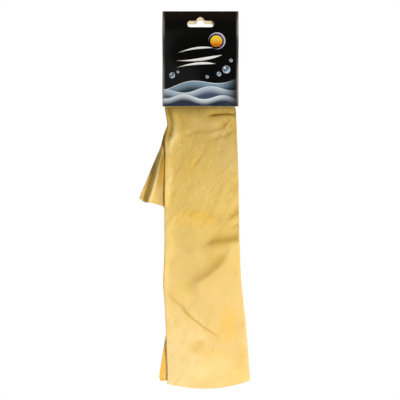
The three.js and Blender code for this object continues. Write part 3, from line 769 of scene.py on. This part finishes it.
def make_sleeve(materials):
    """The card sheet, printed outside and cream inside, with its slot."""
    levels = np.concatenate([TOP_LEVELS, np.linspace(FLAT_TO, CARD_MOUTH, SLEEVE_ROWS)])
    grid = np.stack([sleeve_row(z) for z in levels])
    verts, _, faces = sheet_parts(grid, grid_normals(grid), BOARD)
    obj = new_object("card_sleeve", verts, faces.tolist(), materials)
    side = (len(levels) - 1) * (grid.shape[1] - 1)
    kinds = np.full(len(faces), CUT_EDGE)
    kinds[:side] = PRINTED
    kinds[side:2 * side] = INSIDE
    obj.data.polygons.foreach_set("material_index", kinds.astype(np.int32))
    cut(obj, slot_cutter("front_cutter", -CUTTER_DEPTH, 0, 0, materials[CUT_EDGE]))
    cut(obj, slot_cutter("back_cutter", 0, CUTTER_DEPTH, BACK_SLOT_DROP, materials[CUT_EDGE]))
    sharpen(obj, HARD_ANGLE)
    return obj


class Field:
    """A number that varies over a surface, made of Math nodes."""

    def __init__(self, tree, socket):
        self.tree = tree
        self.socket = socket

    def math(self, operation, *others):
        node = self.tree.nodes.new("ShaderNodeMath")
        node.operation = operation
        for i, value in enumerate((self, *others)):
            if isinstance(value, Field):
                self.tree.links.new(value.socket, node.inputs[i])
            else:
                node.inputs[i].default_value = value
        return Field(self.tree, node.outputs[0])

    def __add__(self, other):
        return self.math("ADD", other)

    def __sub__(self, other):
        return self.math("SUBTRACT", other)

    def __mul__(self, other):
        return self.math("MULTIPLY", other)

    def __truediv__(self, other):
        return self.math("DIVIDE", other)

    def __abs__(self):
        return self.math("ABSOLUTE")

    def largest(self, other):
        return self.math("MAXIMUM", other)

    def step(self, none, full):
        """0 at one value and 1 at another, smooth between and level beyond."""
        node = self.tree.nodes.new("ShaderNodeMapRange")
        node.interpolation_type = "SMOOTHSTEP"
        self.tree.links.new(self.socket, node.inputs["Value"])
        node.inputs["From Min"].default_value = none
        node.inputs["From Max"].default_value = full
        return Field(self.tree, node.outputs["Result"])


def new_material(name):
    material = bpy.data.materials.new(name)
    material.use_nodes = True
    return material, material.node_tree, material.node_tree.nodes["Principled BSDF"]


def set_inputs(shader, values):
    for name, value in values.items():
        shader.inputs[name].default_value = value


def place(tree, mark=None):
    """X, Y and Z of the surface as fields in millimetres, and the coordinates' socket. A mark holds the
    places from before the sheet bends, so that its pattern bends with it."""
    if mark:
        node = tree.nodes.new("ShaderNodeAttribute")
        node.attribute_name = mark
        coordinates = node.outputs["Vector"]
    else:
        coordinates = tree.nodes.new("ShaderNodeTexCoord").outputs["Object"]
    split = tree.nodes.new("ShaderNodeSeparateXYZ")
    tree.links.new(coordinates, split.inputs[0])
    return [Field(tree, s) * (1 / MM) for s in split.outputs] + [coordinates]


def attribute(tree, name):
    node = tree.nodes.new("ShaderNodeAttribute")
    node.attribute_name = name
    return Field(tree, node.outputs["Fac"])


def texture_noise(tree, coordinates, scale, detail=4.0, roughness=0.55, stretch=None):
    """Noise with a scale for a metre, stretched along the skin's fibres if asked."""
    if stretch:
        mapping = tree.nodes.new("ShaderNodeMapping")
        mapping.vector_type = "TEXTURE"
        mapping.inputs["Scale"].default_value = (1, 1, stretch)
        mapping.inputs["Rotation"].default_value = (0, LEAN, 0)
        tree.links.new(coordinates, mapping.inputs["Vector"])
        coordinates = mapping.outputs[0]
    node = tree.nodes.new("ShaderNodeTexNoise")
    set_inputs(node, {"Scale": scale, "Detail": detail, "Roughness": roughness})
    tree.links.new(coordinates, node.inputs["Vector"])
    return Field(tree, node.outputs["Fac"])


def paint(tree, under, over, share, blend="MIX"):
    """Colour over another by a share. A colour is a socket or red, green and blue."""
    node = tree.nodes.new("ShaderNodeMix")
    node.data_type, node.blend_type = "RGBA", blend
    for value, socket in ((share, node.inputs[0]), (under, node.inputs[6]), (over, node.inputs[7])):
        value = value.socket if isinstance(value, Field) else value
        if isinstance(value, bpy.types.NodeSocket):
            tree.links.new(value, socket)
        else:
            socket.default_value = (*value, 1) if isinstance(value, tuple) else value
    return node.outputs[2]


def add_bump(tree, shader, height, distance, strength, under=None):
    node = tree.nodes.new("ShaderNodeBump")
    set_inputs(node, {"Strength": strength, "Distance": distance * MM})
    tree.links.new(height.socket, node.inputs["Height"])
    if under:
        tree.links.new(under, node.inputs["Normal"])
    tree.links.new(node.outputs[0], shader.inputs["Normal"])
    return node.outputs[0]


def edge_of(field, soft=0.15):
    """1 where a field is above nought, with a thin soft edge."""
    return field.step(-soft, soft)


def from_point(x, z, at):
    dx, dz = x - at[0], z - at[1]
    return dx, dz, (dx * dx + dz * dz).math("SQRT")


def lay_tints(tree, colour, tints, fields, blend="MIX"):
    """Tints in order over a colour. One without a range follows its field as it is."""
    for by, over, tint, share, *limits in tints:
        mask = fields[by].step(*over) if over else fields[by]
        for limit in limits:
            mask = mask * fields[limit]
        colour = paint(tree, colour, tint, mask * share, blend)
    return colour


def lay_stains_shade_and_highlights(tree, colour, x, z, cloud):
    """Ragged patches of colour: stains, painted shade and painted highlights."""
    for (cx, cz), (sx, sz), patch_colour, share in STAINS_SHADE_AND_HIGHLIGHTS:
        reach = from_point(x / sx, z / sz, (cx / sx, cz / sz))[2]
        mask = (reach * -1 + cloud * PATCH_RAGGED - PATCH_INSET).step(*PATCH_EDGE)
        colour = paint(tree, colour, patch_colour, mask * share)
    return colour


def chamois_material():
    """Suede with stains, fibres and nap, and with shade and highlights painted into its colour. The lower
    skin is smoother.
    """
    material, tree, shader = new_material("chamois_suede")
    x, _, z, coordinates = place(tree, "rest_place")
    fields = {name: texture_noise(tree, coordinates, *values) for name, values in TEXTURES.items()}
    fields.update({mark: attribute(tree, mark) for mark in ("relief", "groove", "fold", "shade")})
    rough = z.step(*ROUGH_OVER)
    grain = rough * (1 - SMOOTH_GRAIN) + SMOOTH_GRAIN
    fields.update({"z": z, "rough": rough, "grain": grain})
    colour = lay_tints(tree, NECK_COLOUR, GROUND_TINTS, fields)
    colour = lay_stains_shade_and_highlights(tree, colour, x, z, fields["cloud"])
    colour = lay_tints(tree, colour, SURFACE_TINTS, fields)
    colour = lay_tints(tree, colour, SHADOW_TINTS, fields, "MULTIPLY")
    tree.links.new(colour, shader.inputs["Base Color"])
    set_inputs(shader, SUEDE)
    wrinkles = abs(fields["wrinkle"] - 0.5).step(0.0, WRINKLE_WIDTH) * rough
    bumped = None
    for height, distance in ((wrinkles, WRINKLE_DEPTH), (fields["mottle"] * grain, MOTTLE_DEPTH),
                             (fields["nap"], NAP_DEPTH)):
        bumped = add_bump(tree, shader, height, distance, BUMP_STRENGTH, bumped)
    return material


def paint_wave(tree, colour, x, z, level, crest, depth, light, dark):
    """A band of water under a wavy crest: bright rim, then light to dark downwards."""
    swing, length, phase, tilt = crest
    height = (x * (2 * math.pi / length) + phase).math("SINE") * swing + x * tilt
    below = height + level - z
    water = paint(tree, light, dark, below.step(WAVE_LIGHT_TO, depth))
    water = paint(tree, FOAM, water, below.step(*FOAM_OVER))
    return paint(tree, colour, water, edge_of(below) * x.step(*WAVE_FADE))


def paint_stroke(tree, colour, x, z, at, half, thick, rise, arch):
    """A white brush stroke that swells and tapers along a gentle curve."""
    u = (x - at[0]) / half
    body = u * u * -1 + 1
    off = z - (u * rise + body * arch + at[1])
    inside = body * (u * STROKE_SWELL + STROKE_LEFT) * thick - abs(off)
    ink = paint(tree, STROKE_SHADE, STROKE_LIGHT, off.step(-thick, thick * STROKE_LIT))
    return paint(tree, colour, ink, edge_of(inside))


def paint_drop(tree, colour, x, z, at, radius):
    """A round drop of water with a light rim, a light crescent and a white spark."""
    dx, dz, distance = from_point(x, z, at)
    lit = (dz * DROP_LIGHT_FROM[1] + dx * DROP_LIGHT_FROM[0]) / radius
    body = paint(tree, DROP_DEEP, DROP_LIGHT, lit.step(*DROP_LIT))
    body = paint(tree, body, DROP_RIM, (distance / radius).step(*RIM_OVER) * RIM_SHARE)
    spark_at = (at[0] + radius * SPARK_AT[0], at[1] + radius * SPARK_AT[1])
    spark = from_point(x, z, spark_at)[2]
    body = paint(tree, body, DROP_SPARK, edge_of(spark * -1 + radius * SPARK_RADIUS))
    return paint(tree, colour, body, edge_of(distance * -1 + radius))


def paint_sun(tree, colour, x, z):
    """An amber disc that turns orange downwards, parted by thin dark lines, in a violet and silver ring."""
    dx, dz, distance = from_point(x, z, SUN_AT)
    height = dz / SUN_RADIUS
    disc = paint(tree, SUN_LOW, SUN_HIGH, height.step(*SUN_OVER))
    waves = (dz * SUN_LINES).math("SINE") * LINE_DEPTH - LINE_THIN
    lines = edge_of(waves - height.step(*LINE_OVER) * LINE_FADE)
    mask = edge_of(distance * -1 + SUN_RADIUS) * (lines * -1 + 1)
    colour = paint(tree, colour, disc, mask)
    ring = abs(distance - SUN_RING) * -1 + (dx * RING_SWELL[0] + dz * RING_SWELL[1] + RING_HALF)
    metal = paint(tree, RING_INNER, RING_OUTER, (distance - SUN_RING).step(*RING_OVER))
    return paint(tree, colour, metal, edge_of(ring))


def print_colour(tree, x, z, front):
    """Generic print: a sun, brush strokes, drops and waves on black, with a painted sheen on the black
    towards the lower right. The back panel is the same black with the same painted sheen, without the print.
    """
    black = paint(tree, BLACK, BLACK_TOP, z.step(*TOP_OVER))
    # Painted sheen: the black turns lighter towards the lower right
    black = paint(tree, black, CORNER_SHEEN, x.step(*CORNER_SHEEN_ACROSS) * z.step(*CORNER_SHEEN_DOWN))
    colour = paint_sun(tree, black, x, z)
    for stroke in STROKES:
        colour = paint_stroke(tree, colour, x, z, *stroke)
    for wave in WAVES:
        colour = paint_wave(tree, colour, x, z, *wave)
    for drop in DROPS:
        colour = paint_drop(tree, colour, x, z, *drop)
    return paint(tree, black, colour, front)


def card_material():
    """Glossy print with a painted reflection along its side creases, light scuffs and a slight ripple."""
    material, tree, shader = new_material("card_print")
    x, y, z, coordinates = place(tree)
    colour = print_colour(tree, x, z, y.step(*FRONT_OVER))
    # Painted reflection: a lighter grey along the side creases, strongest at two heights
    upper, lower = (abs(z - height).step(*over) for height, over in SIDE_SHEEN_BANDS)
    side_sheen = upper.largest(lower) * (1 - SIDE_SHEEN_LEAST) + SIDE_SHEEN_LEAST
    colour = paint(tree, colour, SIDE_SHEEN_COLOUR, abs(x).step(*SIDE_SHEEN_OVER) * side_sheen)
    tree.links.new(colour, shader.inputs["Base Color"])
    scuff = texture_noise(tree, coordinates, *SCUFFS)
    tree.links.new((scuff.step(*SCUFF_OVER) * SCUFF_DULL + GLOSS).socket, shader.inputs["Roughness"])
    ripple = texture_noise(tree, coordinates, *CARD_RIPPLES)
    add_bump(tree, shader, ripple, *CARD_BUMP)
    return material


def board_material(name, colour):
    """Bare board with fine fibres."""
    material, tree, shader = new_material(name)
    coordinates = place(tree)[3]
    fibre = texture_noise(tree, coordinates, *FIBRES)
    dark = tuple(c * FIBRE_SHADE for c in colour)
    tree.links.new(paint(tree, dark, colour, fibre.step(*FIBRE_OVER)), shader.inputs["Base Color"])
    set_inputs(shader, {"Roughness": BOARD_ROUGH})
    add_bump(tree, shader, fibre, *FIBRE_BUMP)
    return material


def make_camera():
    data = bpy.data.cameras.new("camera")
    data.lens, data.sensor_width = LENS, SENSOR
    camera = bpy.data.objects.new("camera", data)
    distance = FRAME_MM * LENS / SENSOR
    camera.location = (FRAME_CENTRE[0] * MM, -distance * MM, FRAME_CENTRE[1] * MM)
    camera.rotation_euler = (math.pi / 2, 0, 0)
    bpy.context.scene.collection.objects.link(camera)
    bpy.context.scene.camera = camera


def area_light(name, at, aim, size, power, mirrored):
    """A soft lamp, out of the camera's sight. The strong ones are kept out of the gloss as well."""
    data = bpy.data.lights.new(name, "AREA")
    data.shape, data.size, data.size_y, data.energy = "RECTANGLE", size[0], size[1], power
    light = bpy.data.objects.new(name, data)
    light.location = at
    light.rotation_euler = (Vector(aim) - Vector(at)).to_track_quat("-Z", "Y").to_euler()
    light.visible_camera = False
    light.visible_glossy = mirrored
    bpy.context.scene.collection.objects.link(light)


def rays(tree, *kinds):
    """1 for rays of any of the kinds, and 0 for others."""
    path = tree.nodes.new("ShaderNodeLightPath")
    first, *others = (Field(tree, path.outputs["Is " + kind + " Ray"]) for kind in kinds)
    for other in others:
        first = first.largest(other)
    return first


def make_world():
    """White behind the object, for the camera and for reflections, and a dim room in front of it."""
    world = bpy.data.worlds.new("studio")
    world.use_nodes = True
    bpy.context.scene.world = world
    tree = world.node_tree
    background = tree.nodes["Background"]
    split = tree.nodes.new("ShaderNodeSeparateXYZ")
    tree.links.new(tree.nodes.new("ShaderNodeTexCoord").outputs["Generated"], split.inputs[0])
    across, back, up = (Field(tree, s) for s in split.outputs)
    sides = abs(across).step(*SIDES_OVER) * abs(up).step(*LEVEL_OVER)
    room = back.step(*BEHIND_OVER).largest(sides * SIDE_GLOW) + ROOM_DIM
    level = rays(tree, "Camera", "Transmission").largest(rays(tree, "Glossy") * room)
    diffuse = rays(tree, "Diffuse")
    tree.links.new(level.largest(diffuse * ROOM_LIGHT).socket, background.inputs["Strength"])
    tree.links.new(paint(tree, WHITE, ROOM_COLOUR, diffuse), background.inputs["Color"])


def make_floor():
    """Pale round floor well under the hanging leather, out of the photograph's frame."""
    ring = [(FLOOR_RADIUS * math.cos(t), FLOOR_RADIUS * math.sin(t), FLOOR_LEVEL)
            for t in (2 * math.pi * i / FLOOR_SIDES for i in range(FLOOR_SIDES))]
    material, tree, shader = new_material("floor_pale")
    x, y, _, _ = place(tree)
    far = (x * x + y * y).math("SQRT").step(*FLOOR_FADE)
    tree.links.new(paint(tree, FLOOR_COLOUR, FLOOR_RIM, far), shader.inputs["Base Color"])
    set_inputs(shader, {"Roughness": 1.0, "Specular IOR Level": 0.0, "Emission Color": (*WHITE, 1)})
    glow = rays(tree, "Camera", "Glossy", "Transmission") * (far * (1 - FLOOR_GLOW) + FLOOR_GLOW)
    tree.links.new(glow.socket, shader.inputs["Emission Strength"])
    floor = new_object("floor", ring, [list(range(FLOOR_SIDES))], [material])


bpy.context.scene.view_settings.view_transform = "Standard"
make_camera()
make_world()
make_floor()
for lamp in LAMPS:
    area_light(*lamp)

chamois = chamois_material()
card = card_material()
cream = board_material("card_inside", CREAM)
cut_edge = board_material("card_edge", CUT_CREAM)

sleeve = make_sleeve([card, cream, cut_edge])
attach(sleeve, "header_card")
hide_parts("header_sleeve", "top_glue", "lap_glue")

grid, marks, seam = skin_grid()
normals = grid_normals(grid)
marks["shade"] = shaded(normals)
above, below = slice(None, seam + 1), slice(seam, None)
upper = sheet_object("leather_upper", grid[above], normals[above], SKIN, chamois, part_marks(marks, above))
lower = sheet_object("leather_lower", grid[below], normals[below], SKIN, chamois, part_marks(marks, below))
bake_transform(upper)
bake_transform(lower)
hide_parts("leather_neck", "leather_mouth_bend", "leather_drop")
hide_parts("leather_mid_bend", "leather_tail")

flap_points, flap_thickness, flap_marks = flap_grid()
flap_normals = grid_normals(flap_points)
flap_marks["shade"] = shaded(flap_normals)
flap = sheet_object("leather_leg", flap_points, flap_normals, flap_thickness, chamois, flap_marks)
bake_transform(flap)
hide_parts("leather_flap_bend", "leather_flap")
